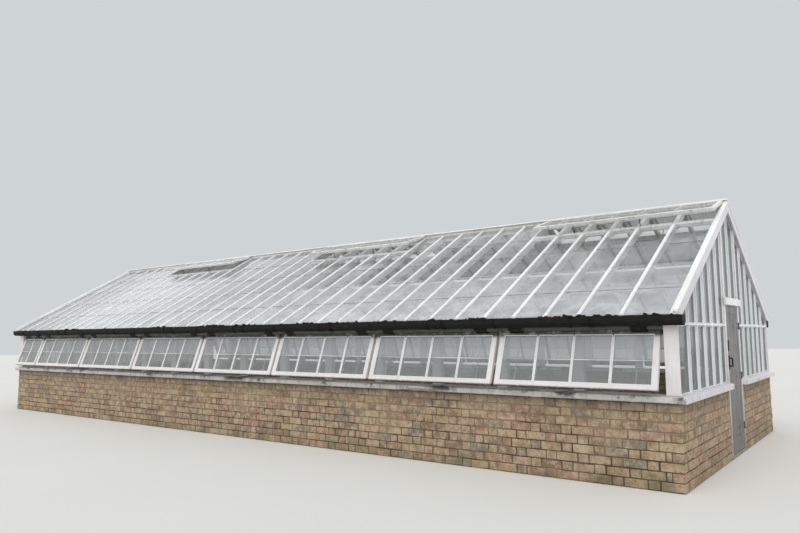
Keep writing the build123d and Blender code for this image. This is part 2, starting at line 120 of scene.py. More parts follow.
def noise(vector, scale, detail=2.0, roughness=0.5):
    sockets = {"Vector": vector, "Scale": scale, "Detail": detail, "Roughness": roughness}
    return fed("ShaderNodeTexNoise", sockets)[0]


def new_object(name, data):
    made = bpy.data.objects.new(name, data)
    bpy.context.scene.collection.objects.link(made)
    return made


def new_material(name):
    """A material with its Principled shader, and the Object coordinates to lay patterns on."""
    material = bpy.data.materials.new(name)
    material.use_nodes = True
    tree = material.node_tree
    shader = tree.nodes["Principled BSDF"]
    place = add(tree, "ShaderNodeTexCoord").outputs["Object"]
    return material, shader, place


floor_half = 60.0
floor_drop = 0.002
floor_tone = chip(214, 213, 208)
floor_mottle = chip(221, 220, 216)
sky_seen = chip(206, 211, 214)
sky_tint = (0.97, 0.99, 1.0, 1.0)
sky_light = 0.58
sky_reflected = 1.45
lamp_power = 1.9
lamp_spread = radians(70)
lamp_turn = Euler((radians(42), 0, radians(28)))

floor_mesh = bpy.data.meshes.new("studio_floor")
corners = [(x * floor_half, y * floor_half, 0) for x, y in ((-1, -1), (1, -1), (1, 1), (-1, 1))]
floor_mesh.from_pydata(corners, [], [(0, 1, 2, 3)])
studio_floor = new_object("studio_floor", floor_mesh)
studio_floor.location.z = -floor_drop
material, shader, place = new_material("studio_floor")
mottle = noise(place, 0.35, 4.0)
feed(shader, {"Base Color": blend(mottle, floor_tone, floor_mottle), "Roughness": 0.9})
floor_mesh.materials.append(material)

world = bpy.data.worlds.new("studio_sky")
bpy.context.scene.world = world
world.use_nodes = True
tree = world.node_tree
tree.nodes.clear()
paths = add(tree, "ShaderNodeLightPath").outputs
skies = ((sky_tint, sky_light), (sky_tint, sky_reflected), (sky_seen, 1.0))
lighting, reflected, seen = (out(tree, "ShaderNodeBackground", {"Color": tint, "Strength": strength})
                             for tint, strength in skies)
shine = larger(paths["Is Glossy Ray"], paths["Is Transmission Ray"])
glossy = out(tree, "ShaderNodeMixShader", {0: shine, 1: lighting, 2: reflected})
both = out(tree, "ShaderNodeMixShader", {0: paths["Is Camera Ray"], 1: glossy, 2: seen})
add(tree, "ShaderNodeOutputWorld", {"Surface": both})

lamp_data = bpy.data.lights.new("broad_lamp", "SUN")
lamp_data.energy = lamp_power
lamp_data.angle = lamp_spread
new_object("broad_lamp", lamp_data).rotation_euler = lamp_turn

photo_width = 800
focal_pixels = 667.6
sensor_width = 36.0
camera_place = Vector((8.7007, -9.2704, 1.509))
camera_yaw = radians(37.156)
camera_pitch = radians(5.905)
camera_roll = radians(-0.540)

ahead = Vector((-sin(camera_yaw) * cos(camera_pitch), cos(camera_yaw) * cos(camera_pitch), sin(camera_pitch)))
level_right = ahead.cross(Vector((0, 0, 1))).normalized()
level_up = level_right.cross(ahead)
right = cos(camera_roll) * level_right + sin(camera_roll) * level_up
up = cos(camera_roll) * level_up - sin(camera_roll) * level_right
camera_data = bpy.data.cameras.new("camera")
camera_data.sensor_width = sensor_width
camera_data.lens = focal_pixels / photo_width * sensor_width
camera = new_object("camera", camera_data)
camera.matrix_world = Matrix.Translation(camera_place) @ Matrix((right, up, -ahead)).transposed().to_4x4()
bpy.context.scene.camera = camera
bpy.context.scene.view_settings.view_transform = "Standard"

# Low brick wall.
# Buff stock bricks one brick thick in Flemish bond, headers and stretchers taking turns in every course,
# laid in brown lime mortar that the weather has raked out, most of all low down at the near corner.

course_count = 9
brick_joint = 0.010
brick_jitter = 0.0032
level_jitter = 0.7 * brick_jitter
brick_bevel = 0.006
bevel_angle = radians(40)
smallest_brick = 0.03
mortar_recess = 0.007
mortar_grid = 0.07
mortar_roughness = 0.008
mortar_lump_scale = 9.0

wall_low, wall_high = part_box("brick_wall_front")
course_height = (wall_high.z - wall_low.z) / course_count
stretcher = wall_high.y - wall_low.y
header = (stretcher - brick_joint) / 2


def times(first, second):
    return maths("MULTIPLY", first, second)


def plus(first, second):
    return maths("ADD", first, second)


def minus(first, second):
    return maths("SUBTRACT", first, second)


def vectors(operation, *values):
    return fed("ShaderNodeVectorMath", dict(enumerate(values)), operation=operation)[0]


def scaled(first, second):
    return vectors("MULTIPLY", first, second)


def ranged(value, low, high, to_low=0.0, to_high=1.0):
    """A value carried over from one range to another, and held inside it."""
    sockets = {"Value": value, "From Min": low, "From Max": high, "To Min": to_low, "To Max": to_high}
    return fed("ShaderNodeMapRange", sockets)[0]


def open_sockets(tree, way, **kinds):
    """Gives a tree its named inputs or outputs."""
    for label, kind in kinds.items():
        tree.interface.new_socket(label, in_out=way, socket_type="NodeSocket" + kind)


def new_tree(name, **inputs):
    """A Geometry Nodes tree with named inputs, the last of them its material."""
    tree = bpy.data.node_groups.new(name, "GeometryNodeTree")
    open_sockets(tree, "INPUT", Geometry="Geometry", **inputs, Material="Material")
    open_sockets(tree, "OUTPUT", Geometry="Geometry")
    return tree, add(tree, "NodeGroupInput").outputs


def end_tree(tree, geometry, given):
    """Realizes the instances, gives them the tree's material, and ends the tree there."""
    real = out(tree, "GeometryNodeRealizeInstances", {0: geometry})
    dressed = out(tree, "GeometryNodeSetMaterial", {"Geometry": real, "Material": given["Material"]})
    add(tree, "NodeGroupOutput", {"Geometry": dressed})
    return tree


def points_mesh(places, **attributes):
    """A mesh of bare points that carries a value for each, for a tree to build on."""
    mesh = bpy.data.meshes.new("points")
    mesh.from_pydata([tuple(place) for place in places], [], [])
    for name, values in attributes.items():
        mesh.attributes.new(name, "FLOAT", "POINT").data.foreach_set("value", values)
    return mesh


def piece_from(name, mesh, tree=None, values=None, bevel=None, body="greenhouse"):
    """Runs a tree, with a bevel after it if one is wanted, and keeps the result as a plain mesh on a body."""
    maker = new_object(name + "_maker", mesh)
    if tree:
        modifier = maker.modifiers.new("tree", "NODES")
        modifier.node_group = tree
        for item in tree.interface.items_tree:
            if item.in_out == "INPUT" and item.name in values:
                modifier[item.identifier] = values[item.name]
    if bevel:
        edges = maker.modifiers.new("bevel", "BEVEL")
        edges.width = bevel
        edges.limit_method = "ANGLE"
        edges.angle_limit = bevel_angle
    view = bpy.context.evaluated_depsgraph_get()
    made = bpy.data.meshes.new_from_object(maker.evaluated_get(view), preserve_all_data_layers=True,
                                           depsgraph=view)
    bpy.data.objects.remove(maker)
    piece = new_object(name, made)
    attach(piece, body)
    return piece


def combine(x, y, z):
    return fed("ShaderNodeCombineXYZ", {0: x, 1: y, 2: z})[0]


def parts_of(vector):
    return fed("ShaderNodeSeparateXYZ", {0: vector})


def moved(geometry, offset):
    return fed("GeometryNodeSetPosition", {"Geometry": geometry, "Offset": offset})[0]


def stored(geometry, name, value, kind="FLOAT"):
    """Keeps a value on every point under a name."""
    sockets = {"Geometry": geometry, "Name": name, "Value": value}
    return fed("GeometryNodeStoreNamedAttribute", sockets, data_type=kind, domain="POINT")[0]


def recalled(tree, name, kind="FLOAT"):
    return out(tree, "GeometryNodeInputNamedAttribute", {"Name": name}, data_type=kind)


def copied(points, shape, turn, scale=(1, 1, 1)):
    """A copy of a shape at every point, turned and scaled."""
    sockets = {"Points": points, "Instance": shape, "Rotation": turn, "Scale": scale}
    return fed("GeometryNodeInstanceOnPoints", sockets)[0]


def random_value(tree, low, high, seed, kind="FLOAT"):
    """A random number, or vector, for each element."""
    first, second, result = {"FLOAT": (2, 3, 1), "FLOAT_VECTOR": (0, 1, 0)}[kind]
    sockets = {first: low, second: high, "Seed": seed}
    return add(tree, "FunctionNodeRandomValue", sockets, data_type=kind).outputs[result]


def brick_tree():
    """Lays a run of bond from a corner. Courses start by turns with a stretcher, or a header and a closer."""
    tree, given = new_tree("flemish_bond", Start="Vector", Turn="Float", Direction="Float", Length="Float",
                           Gable="Bool", Inner="Bool", Count="Int", Seed="Int")

    def jittered(geometry, seed):
        jitter = Vector((brick_jitter, brick_jitter, level_jitter))
        return moved(geometry, random_value(tree, -jitter, jitter, seed, "FLOAT_VECTOR"))

    pair = stretcher + header + 2 * brick_joint
    index = out(tree, "GeometryNodeInputIndex")
    per_course = maths("DIVIDE", given["Count"], float(course_count))
    course = maths("FLOOR", maths("DIVIDE", plus(index, 0.5), per_course))
    number = minus(index, times(course, per_course))
    odd = maths("MODULO", plus(course, given["Gable"]), 2.0)
    # Past the corner header and its closer, an odd course goes on as an even one does.
    along = minus(number, times(odd, 2.0))
    half = maths("FLOOR", maths("DIVIDE", plus(along, 0.01), 2.0))
    is_header = maths("ROUND", minus(along, times(half, 2.0)))
    start = plus(times(half, pair), times(is_header, stretcher + brick_joint))
    start = plus(start, times(odd, pair / 2))
    size = plus(times(is_header, header - stretcher), stretcher)
    early = times(odd, maths("LESS_THAN", number, 1.5))
    closer = times(early, maths("GREATER_THAN", number, 0.5))
    late = minus(1.0, early)
    closer_width = pair / 2 - header - 2 * brick_joint
    early_size = plus(header, times(closer, closer_width - header))
    size = plus(times(size, late), times(early_size, early))
    start = plus(times(start, late), times(closer, header + brick_joint))
    end = maths("MINIMUM", plus(start, size), given["Length"])
    inner = given["Inner"]
    start = larger(start, times(inner, stretcher + brick_joint))
    length = minus(end, start)
    through = larger(times(is_header, late), minus(early, closer))
    depth = plus(header, times(through, stretcher - header))
    inward = plus(times(depth, 0.5), times(inner, header + brick_joint))
    middle = times(plus(start, times(length, 0.5)), given["Direction"])
    level = plus(times(course, course_height), course_height / 2)
    turned = out(tree, "ShaderNodeVectorRotate", {"Vector": combine(middle, inward, level),
                 "Angle": given["Turn"]}, rotation_type="Z_AXIS")
    where = vectors("ADD", turned, given["Start"])
    points = out(tree, "GeometryNodePoints", {"Count": given["Count"], "Position": where})
    points = jittered(points, given["Seed"])
    size = combine(length, depth, course_height - brick_joint)
    points = stored(points, "brick_size", size, "FLOAT_VECTOR")
    points = stored(points, "tone", random_value(tree, 0.0, 1.0, given["Seed"]))
    skipped = times(given["Gable"], maths("LESS_THAN", number, 0.5))
    unwanted = larger(skipped, maths("LESS_THAN", length, smallest_brick))
    unwanted = larger(unwanted, times(inner, through))
    kept = out(tree, "GeometryNodeDeleteGeometry", {"Geometry": points, "Selection": unwanted})
    brick = out(tree, "GeometryNodeMeshCube", {"Size": (1, 1, 1)})
    sizes = recalled(tree, "brick_size", "FLOAT_VECTOR")
    laid = copied(kept, brick, combine(0.0, 0.0, given["Turn"]), sizes)
    return end_tree(tree, jittered(out(tree, "GeometryNodeRealizeInstances", {0: laid}), 3), given)


def lumpiness(tree, scale, reach):
    """An offset that wanders from place to place, half of its reach to each side."""
    bumps = add(tree, "ShaderNodeTexNoise", {"Scale": scale, "Detail": 3.0}).outputs["Color"]
    return scaled(vectors("SUBTRACT", bumps, (0.5, 0.5, 0.5)), (reach, reach, reach))


def mortar_tree():
    """The wall's mortar: a block just inside the brick faces, rough all over."""
    tree, given = new_tree("mortar", Centre="Vector", Size="Vector")
    steps = vectors("CEIL", vectors("DIVIDE", given["Size"], (mortar_grid,) * 3))
    counts = parts_of(vectors("ADD", steps, (1, 1, 1)))
    sockets = {"Size": given["Size"], "Vertices X": counts[0], "Vertices Y": counts[1], "Vertices Z": counts[2]}
    block = out(tree, "GeometryNodeMeshCube", sockets)
    block = out(tree, "GeometryNodeTransform", {"Geometry": block, "Translation": given["Centre"]})
    return end_tree(tree, moved(block, lumpiness(tree, mortar_lump_scale, mortar_roughness)), given)


def patched(colour, pattern, low, high, most, tone):
    """Lays a tone over a colour where a pattern passes from one value to another."""
    return blend(ranged(pattern, low, high, 0.0, most), colour, tone)


def relief(height, strength, distance):
    return fed("ShaderNodeBump", {"Height": height, "Strength": strength, "Distance": distance})[0]


def brick_material():
    """Buff bricks with pink, brown and grey ones among them, darker grey towards the top and green at the foot.
    """
    material, shader, place = new_material("stock_brick")
    tone = add(material.node_tree, "ShaderNodeAttribute", attribute_name="tone").outputs["Fac"]
    ramp = add(material.node_tree, "ShaderNodeValToRGB", {"Fac": tone})
    chips = [chip(158, 138, 110), chip(148, 128, 102), chip(168, 148, 120), chip(152, 120, 102),
             chip(136, 112, 92), chip(162, 140, 112), chip(134, 122, 106), chip(160, 132, 110)]
    ramp.color_ramp.interpolation = "CONSTANT"
    elements = ramp.color_ramp.elements
    while len(elements) < len(chips):
        elements.new(0.5)
    for position, (element, colour) in enumerate(zip(elements, chips)):
        element.position = position / len(chips)
        element.color = colour
    cloud = noise(place, 14.0, 5.0, 0.65)
    scars = noise(place, 38.0, 5.0, 0.7)
    specks = noise(place, 150.0, 3.0, 0.7)
    level = parts_of(place)[2]
    # Darker grey towards the top courses, under the sill.
    darker_top = times(ranged(level, 0.66, 0.84), ranged(noise(place, 5.0, 4.0), 0.3, 0.6))
    damp = times(ranged(level, 0.3, 0.0), ranged(noise(place, 3.5, 5.0), 0.42, 0.66))
    colour = ramp.outputs[0]
    for pattern, low, high, most, tone in ((cloud, 0.45, 0.66, 0.8, chip(196, 174, 146)),
                                           (cloud, 0.46, 0.3, 0.6, chip(112, 92, 72)),
                                           (scars, 0.54, 0.64, 0.65, chip(100, 80, 62)),
                                           (specks, 0.58, 0.72, 0.75, chip(92, 74, 58)),
                                           (darker_top, 0.0, 1.0, 0.62, chip(98, 90, 78)),
                                           (damp, 0.0, 1.0, 0.7, chip(84, 88, 56))):
        colour = patched(colour, pattern, low, high, most, tone)
    height = plus(times(cloud, 0.7), times(specks, 0.5))
    height = minus(height, times(scars, 0.6))
    feed(shader, {"Base Color": colour, "Roughness": ranged(cloud, 0.2, 0.8, 0.8, 0.96),
                  "Normal": relief(height, 0.8, 0.006)})
    return material


def mortar_material():
    """Brown lime mortar, with painted shadow where it is raked out deepest, which is low down."""
    material, shader, place = new_material("lime_mortar")
    grit = noise(place, 90.0, 4.0, 0.7)
    colour = blend(ranged(grit, 0.3, 0.7), chip(116, 100, 80), chip(152, 136, 112))
    low_down = ranged(parts_of(place)[2], 0.62, 0.1, 0.1, 0.32)
    # Painted shadow of the deepest raked-out joints, most of it low down.
    raked_shade = plus(noise(place, 2.6, 4.0), low_down)
    feed(shader, {"Base Color": patched(colour, raked_shade, 0.6, 0.78, 0.9, chip(58, 48, 38)),
                  "Roughness": 0.95, "Normal": relief(grit, 0.8, 0.004)})
    return material


bond = brick_tree()
mortar = mortar_tree()
brick_finish = brick_material()
mortar_finish = mortar_material()


def joined(name, pieces):
    """Several finished meshes made one piece, in the finish of the first."""
    mesh = bmesh.new()
    for piece in pieces:
        mesh.from_mesh(piece.data)
    for piece in pieces[1:]:
        bpy.data.objects.remove(piece)
    data = bpy.data.meshes.new(name)
    mesh.to_mesh(data)
    mesh.free()
    kept = pieces[0]
    for material in kept.data.materials:
        data.materials.append(material)
    kept.data = data
    kept.name = name
    return kept


def lay_bricks(wall, turn, gable, runs):
    """The bricks and the mortar of one wall, whose runs are given as (corner, direction along it, length)."""
    node = "brick_wall_" + wall
    pieces = []
    for seed, (start, direction, length) in enumerate(runs):
        per_course = int(length / (header + brick_joint)) + 3
        for inner in (False, True):
            values = {"Start": start, "Turn": radians(turn), "Direction": direction, "Length": length,
                      "Gable": gable, "Inner": inner, "Count": per_course * course_count,
                      "Seed": seed + 5 * inner, "Material": brick_finish}
            pieces.append(piece_from("run", points_mesh([(0, 0, 0)]), bond, values, brick_bevel))
    bricks = joined("bricks_" + wall, pieces)
    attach(bricks, "greenhouse")
    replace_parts(bricks, node)
    low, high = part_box(node)
    inset = Vector((mortar_recess, mortar_recess, mortar_recess / 2))
    values = {"Centre": (low + high) / 2, "Size": high - low - 2 * inset, "Material": mortar_finish}
    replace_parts(piece_from("mortar_" + wall, points_mesh([(0, 0, 0)]), mortar, values), node)


length_half = wall_high.x
width_half = -wall_low.y
beside_door = width_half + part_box("brick_wall_left_of_door")[1].y
along_half = length_half - brick_joint / 2
across_half = width_half - brick_joint / 2
near_front, far_front = (length_half, -width_half, 0), (-length_half, -width_half, 0)
near_rear, far_rear = (length_half, width_half, 0), (-length_half, width_half, 0)
lay_bricks("front", 0, False, [(far_front, 1.0, along_half), (near_front, -1.0, along_half)])
lay_bricks("rear", 180, False, [(near_rear, 1.0, along_half), (far_rear, -1.0, along_half)])
lay_bricks("left_of_door", 90, True, [(near_front, 1.0, beside_door)])
lay_bricks("right_of_door", 90, True, [(near_rear, -1.0, beside_door)])
lay_bricks("far_gable", -90, True, [(far_rear, 1.0, across_half), (far_front, -1.0, across_half)])

# Concrete floor.
# A slab cast between the walls, run out through the doorway as the step, worn grey and stained brown
# and green where water has stood.


def dress(material, *names):
    """Gives CAD nodes their finish."""
    for name in names:
        data = frame["nodes"][name].data
        data.materials.clear()
        data.materials.append(material)


material, shader, place = new_material("worn_concrete")
grit = noise(place, 120.0, 3.0, 0.7)
colour = blend(ranged(noise(place, 1.6, 6.0, 0.6), 0.35, 0.65), chip(122, 118, 106), chip(160, 156, 144))
colour = patched(colour, grit, 0.55, 0.75, 0.6, chip(92, 88, 80))
colour = patched(colour, noise(place, 3.2, 5.0), 0.52, 0.7, 0.55, chip(84, 90, 62))
feed(shader, {"Base Color": colour, "Roughness": 0.92, "Normal": relief(grit, 0.4, 0.003)})
dress(material, "concrete_floor")

# Sill.
# Heavy painted timber lying on the wall, its top sloped to throw the rain off and its corners mitred.
# The paint is pale and chalky on top and stained dark with mould down its face; the black along the lower edge
# and underside is painted shade.


def paint_group():
    """Old oil paint on timber: brush marks along the grain, peeling to grey wood, streaks and mould."""
    tree = bpy.data.node_groups.new("old_paint", "ShaderNodeTree")
    open_sockets(tree, "INPUT", Grain="Vector", Paint="Color", Dirt="Color", Peeling="Float", Streaks="Float",
                 Mould="Float")
    open_sockets(tree, "OUTPUT", Colour="Color", Roughness="Float", Height="Float")
    given = add(tree, "NodeGroupInput").outputs
    place = add(tree, "ShaderNodeTexCoord").outputs["Object"]
    along = scaled(place, given["Grain"])
    fibre = noise(along, 75.0, 4.0, 0.6)
    edge = minus(0.78, times(given["Peeling"], 0.34))
    flakes = noise(along, 9.0, 7.0, 0.68)
    bare = ranged(flakes, minus(edge, peel_edge), plus(edge, peel_edge))
    wood = blend(ranged(fibre, 0.3, 0.7), chip(128, 118, 104), chip(168, 158, 142))
    age = ranged(noise(place, 1.1, 4.0, 0.6), 0.35, 0.7)
    chalk = blend(age, given["Paint"], chip(236, 236, 233), "MULTIPLY")
    chalk = patched(chalk, fibre, 0.62, 0.74, 0.22, given["Dirt"])
    rain = noise(scaled(place, grain_z), 16.0, 4.0, 0.6)
    streak = times(ranged(rain, 0.5, 0.72), given["Streaks"])
    chalk = blend(streak, chalk, given["Dirt"])
    where = ranged(noise(place, 2.3, 3.0), 0.42, 0.62)
    mould = times(ranged(noise(place, 34.0, 5.0, 0.72), 0.56, 0.68), where)
    colour = blend(times(mould, given["Mould"]), blend(bare, chalk, wood), chip(46, 46, 40))
    rough = plus(times(streak, 0.25), ranged(bare, 0.0, 1.0, 0.42, 0.85))
    height = minus(times(fibre, 0.35), times(bare, 0.8))
    add(tree, "NodeGroupOutput", {"Colour": colour, "Roughness": rough, "Height": height})
    return tree


grain_x = (0.12, 1.0, 1.0)
grain_y = (1.0, 0.12, 1.0)
grain_z = (1.0, 1.0, 0.12)
grime = chip(120, 122, 104)
peel_edge = 0.012
sill_edge = 0.003
weld_distance = 1e-5
flat_angle = radians(1)
old_paint = paint_group()


def painted(name, grain, paint, dirt, peeling, streaks, mould):
    """A material of old paint on timber whose grain runs along the axis that has the small number."""
    material, shader, _ = new_material(name)
    coat = add(material.node_tree, "ShaderNodeGroup", node_tree=old_paint)
    feed(coat, {"Grain": grain, "Paint": paint, "Dirt": dirt, "Peeling": peeling, "Streaks": streaks,
                "Mould": mould})
    feed(shader, {"Base Color": coat.outputs["Colour"], "Roughness": coat.outputs["Roughness"],
                  "Normal": relief(coat.outputs["Height"], 0.55, 0.002)})
    return material


def welded(node):
    """A CAD node's mesh to work on, with its corners joined."""
    mesh = bmesh.new()
    mesh.from_mesh(frame["nodes"][node].data)
    bmesh.ops.remove_doubles(mesh, verts=mesh.verts, dist=weld_distance)
    return mesh


def eased(material, edge, *names):
    """CAD nodes with their finish on and their sharp edges taken off."""
    for name in names:
        mesh = welded(name)
        bmesh.ops.dissolve_limit(mesh, angle_limit=flat_angle, verts=mesh.verts, edges=mesh.edges)
        for face in mesh.faces:
            face.smooth = False
        data = bpy.data.meshes.new(name + "_eased")
        mesh.to_mesh(data)
        mesh.free()
        data.materials.append(material)
        piece = piece_from(name + "_eased", data, bevel=edge, body=frame["nodes"][name]["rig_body"])
        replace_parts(piece, name)


def darkened(material, clear, dark, tone, patchiness=6.0, cover=(0.26, 0.48)):
    """Blackens paint bit by bit from a clear level to a dark one, in patches."""
    tree = material.node_tree
    socket = tree.nodes["Principled BSDF"].inputs["Base Color"]
    place = add(tree, "ShaderNodeTexCoord").outputs["Object"]
    share = times(ranged(parts_of(place)[2], clear, dark),
                  ranged(noise(place, patchiness, 6.0, 0.7), *cover))
    tree.links.new(blend(share, socket.links[0].from_socket, tone), socket)
    return material


sill_low, sill_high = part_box("sill_front")
sill_paint = painted("sill_paint_long", grain_x, chip(206, 202, 200), chip(104, 100, 90), 0.55, 0.5, 1.0)
darkened(sill_paint, sill_high.z - 0.016, sill_high.z - 0.002, chip(160, 156, 150))
# Painted shade: black along the lower edge and the underside.
darkened(sill_paint, sill_low.z + 0.016, sill_low.z + 0.002, chip(40, 38, 32))
darkened(sill_paint, sill_low.z, sill_high.z - 0.03, chip(56, 51, 45), 2.8, (0.5, 0.58))
eased(sill_paint, sill_edge, "sill_front", "sill_rear")
eased(painted("sill_paint_gable", grain_y, chip(222, 217, 222), grime, 0.35, 0.3, 0.5), sill_edge,
      "sill_left_of_door", "sill_right_of_door", "sill_far_gable")

# Side frames.
# Square corner posts, flat posts behind the opening lights at every half bay, and the eaves plate on top.
# Softwood under white paint; the plate is dark grey-green, partly algae and partly painted shade from the
# gutter.

timber_edge = 0.002
eased(painted("post_paint", grain_z, chip(232, 228, 231), grime, 0.2, 0.15, 0.15), timber_edge,
      "corner_posts", "side_posts_front", "side_posts_rear")
# Dark grey-green: partly algae, partly painted shade from the gutter.
plate_paint_and_shade = painted("plate_paint_and_shade", grain_x, chip(72, 77, 68), chip(34, 38, 30), 0.2, 0.9, 1.0)
eased(plate_paint_and_shade, timber_edge, "eaves_plate_front", "eaves_plate_rear")

# Roof frame.
# Deep softwood bars from the eaves to the ridge board, each with a rebate for the glass on both sides,
# and a purlin under them half way up. Thick white paint, best kept on the inside.

grain_slope = (1.0, 0.16, 0.16)
bar_edge = 0.0015
eased(painted("roof_bar_paint", grain_slope, chip(240, 242, 245), grime, 0.16, 0.25, 0.2), bar_edge,
      "rafters_front", "rafters_rear")
eased(painted("ridge_paint", grain_x, chip(240, 240, 238), grime, 0.3, 0.3, 0.6), timber_edge,
      "purlins", "ridge_board", "ridge_cap")

# Gables.
# Upright glazing bars from the sill to the slope with a thin rail across them at plate height,
# barge boards over their heads and a capping strip along each verge.

dress(painted("gable_bar_paint", grain_z, chip(236, 239, 242), chip(130, 134, 130), 0.12, 0.15, 0.1),
      "gable_bars_far_end", "gable_bars_left_of_door", "gable_bars_right_of_door", "gable_bars_over_door")
eased(painted("barge_paint", grain_slope, chip(222, 218, 228), grime, 0.2, 0.2, 0.25), timber_edge,
      "barge_boards_front", "barge_boards_rear")
eased(painted("verge_paint", grain_slope, chip(242, 242, 240), grime, 0.15, 0.15, 0.25), timber_edge,
      "verge_caps_front", "verge_caps_rear")
jamb_paint = painted("jamb_paint", grain_z, chip(230, 227, 229), chip(134, 130, 128), 0.25, 0.25, 0.25)
dress(darkened(jamb_paint, 1.15, 0.1, chip(128, 114, 106)), "door_jambs", "door_stops", "door_head")
eased(painted("hood_paint", grain_y, chip(240, 240, 238), grime, 0.2, 0.3, 0.2), timber_edge, "door_hood")

# Glass.
# Small panes of horticultural glass lapped like slates, each a little out of line with the next, filmed with
# lime and green algae. The roof keeps the remains of summer shading on its lower half.

glass_sheet = 0.003
glass_lap = 0.018
glass_slack = 0.004
shading_edge = 1.6
shading_blur = 0.03
tide_half = 0.008
eaves_edge = 2.6
bloom_level = 1.255
bloom_blur = 0.01
pitch = radians(29.2)
half_turn = radians(180)
roof_exposure = 0.62
putty_radius = 0.0062
rod_sides = 6
outward_share = 0.9


def facing_axes(turn):
    """The directions across and up a plane, and straight out of it."""
    matrix = Euler(turn).to_matrix()
    return matrix.col[0], matrix.col[1], matrix.col[2]


def panes_of(node, turn):
    """Every pane of a CAD node: the middle of its bed, its width, and its length up the plane it lies in."""
    across, upward, normal = facing_axes(turn)
    mesh = welded(node)
    waiting = set(mesh.verts)
    panes = []
    while waiting:
        stack = [waiting.pop()]
        corners = []
        while stack:
            corner = stack.pop()
            corners.append(corner.co.copy())
            for edge in corner.link_edges:
                other = edge.other_vert(corner)
                if other in waiting:
                    waiting.remove(other)
                    stack.append(other)
        spans = [(min(point.dot(axis) for point in corners), max(point.dot(axis) for point in corners))
                 for axis in (across, upward, normal)]
        middle = across * sum(spans[0]) / 2 + upward * sum(spans[1]) / 2 + normal * spans[2][0]
        panes.append((middle, spans[0][1] - spans[0][0], spans[1][1] - spans[1][0]))
    mesh.free()
    return sorted(panes, key=lambda pane: tuple(round(value, 4) for value in pane[0]))


def lapped_tree():
    """Fills each light with its run of panes, every pane lying over the top edge of the one below."""
    tree, given = new_tree("lapped_panes", Facing="Vector", Exposure="Float", Lap="Float", Thickness="Float",
                           Seed="Int")
    length = recalled(tree, "length")
    count = maths("ROUND", maths("DIVIDE", length, given["Exposure"]))
    count = larger(count, 1.0)
    sockets = {"Geometry": out(tree, "GeometryNodeMeshToPoints", {"Mesh": given["Geometry"]}), "Amount": count}
    copies = add(tree, "GeometryNodeDuplicateElements", sockets, domain="POINT").outputs
    number = copies["Duplicate Index"]
    step = maths("DIVIDE", length, count)
    upper = maths("GREATER_THAN", number, 0.5)
    reach = times(upper, given["Lap"])
    pane = plus(step, reach)
    middle = times(plus(number, 0.5), step)
    middle = minus(minus(middle, times(reach, 0.5)), times(length, 0.5))
    lift = times(plus(upper, 1.0), times(given["Thickness"], 0.5))
    slip = out(tree, "ShaderNodeVectorRotate", {"Vector": combine(0.0, middle, lift),
               "Rotation": given["Facing"]}, rotation_type="EULER_XYZ")
    size = combine(recalled(tree, "width"), pane, given["Thickness"])
    tilt = times(upper, maths("DIVIDE", given["Thickness"], pane))
    loose = random_value(tree, (-glass_slack, -glass_slack, 0.0), (0.0, glass_slack, 0.0), given["Seed"],
                         "FLOAT_VECTOR")
    turned = vectors("SUBTRACT", given["Facing"], combine(tilt, 0.0, 0.0))
    spread = moved(copies["Geometry"], slip)
    spread = stored(spread, "pane_size", size, "FLOAT_VECTOR")
    spread = stored(spread, "pane_turn", vectors("ADD", turned, loose), "FLOAT_VECTOR")
    spread = stored(spread, "tone", random_value(tree, 0.0, 1.0, given["Seed"]))
    upward = parts_of(out(tree, "GeometryNodeInputPosition"))[1]
    sheet = out(tree, "GeometryNodeMeshCube", {"Size": (1, 1, 1)})
    sheet = stored(sheet, "foot", plus(upward, 0.5))
    laid = copied(spread, sheet, recalled(tree, "pane_turn", "FLOAT_VECTOR"),
                  recalled(tree, "pane_size", "FLOAT_VECTOR"))
    return end_tree(tree, laid, given)


def summer_shading(place):
    """The shading wash: low down, all over further along with painted sky reflection, thinned as painted tree
    shade at the far end.
    """
    spot = parts_of(place)
    blotches = noise(place, 3.4, 6.0, 0.7)
    across = maths("ABSOLUTE", spot[1])
    washed = ranged(across, shading_edge, shading_edge + shading_blur)
    washed = times(washed, ranged(blotches, 0.3, 0.62, 0.5, 1.0))
    low_half = times(washed, ranged(across, shading_edge, eaves_edge, 0.62, 1.0))
    tide = maths("LESS_THAN", maths("ABSOLUTE", minus(across, shading_edge)), tide_half)
    # Further along: partly shading wash, partly painted sky reflection.
    far_wash_and_sheen = times(ranged(spot[0], 2.0, -3.5), ranged(blotches, 0.2, 0.6, 0.7, 1.0))
    left = larger(larger(low_half, tide), far_wash_and_sheen)
    # Thinned at the far end: painted shade of trees.
    return times(left, ranged(spot[0], -6.3, -4.6, 0.35, 1.0))


def upper_bloom(place):
    """A milky bloom on the upper pane of each side light, stronger towards the door end."""
    spot = parts_of(place)
    bloom = ranged(spot[2], bloom_level - bloom_blur, bloom_level + bloom_blur, 0.42, 0.75)
    return times(bloom, ranged(spot[0], -5.0, 3.0, 0.45, 1.0))


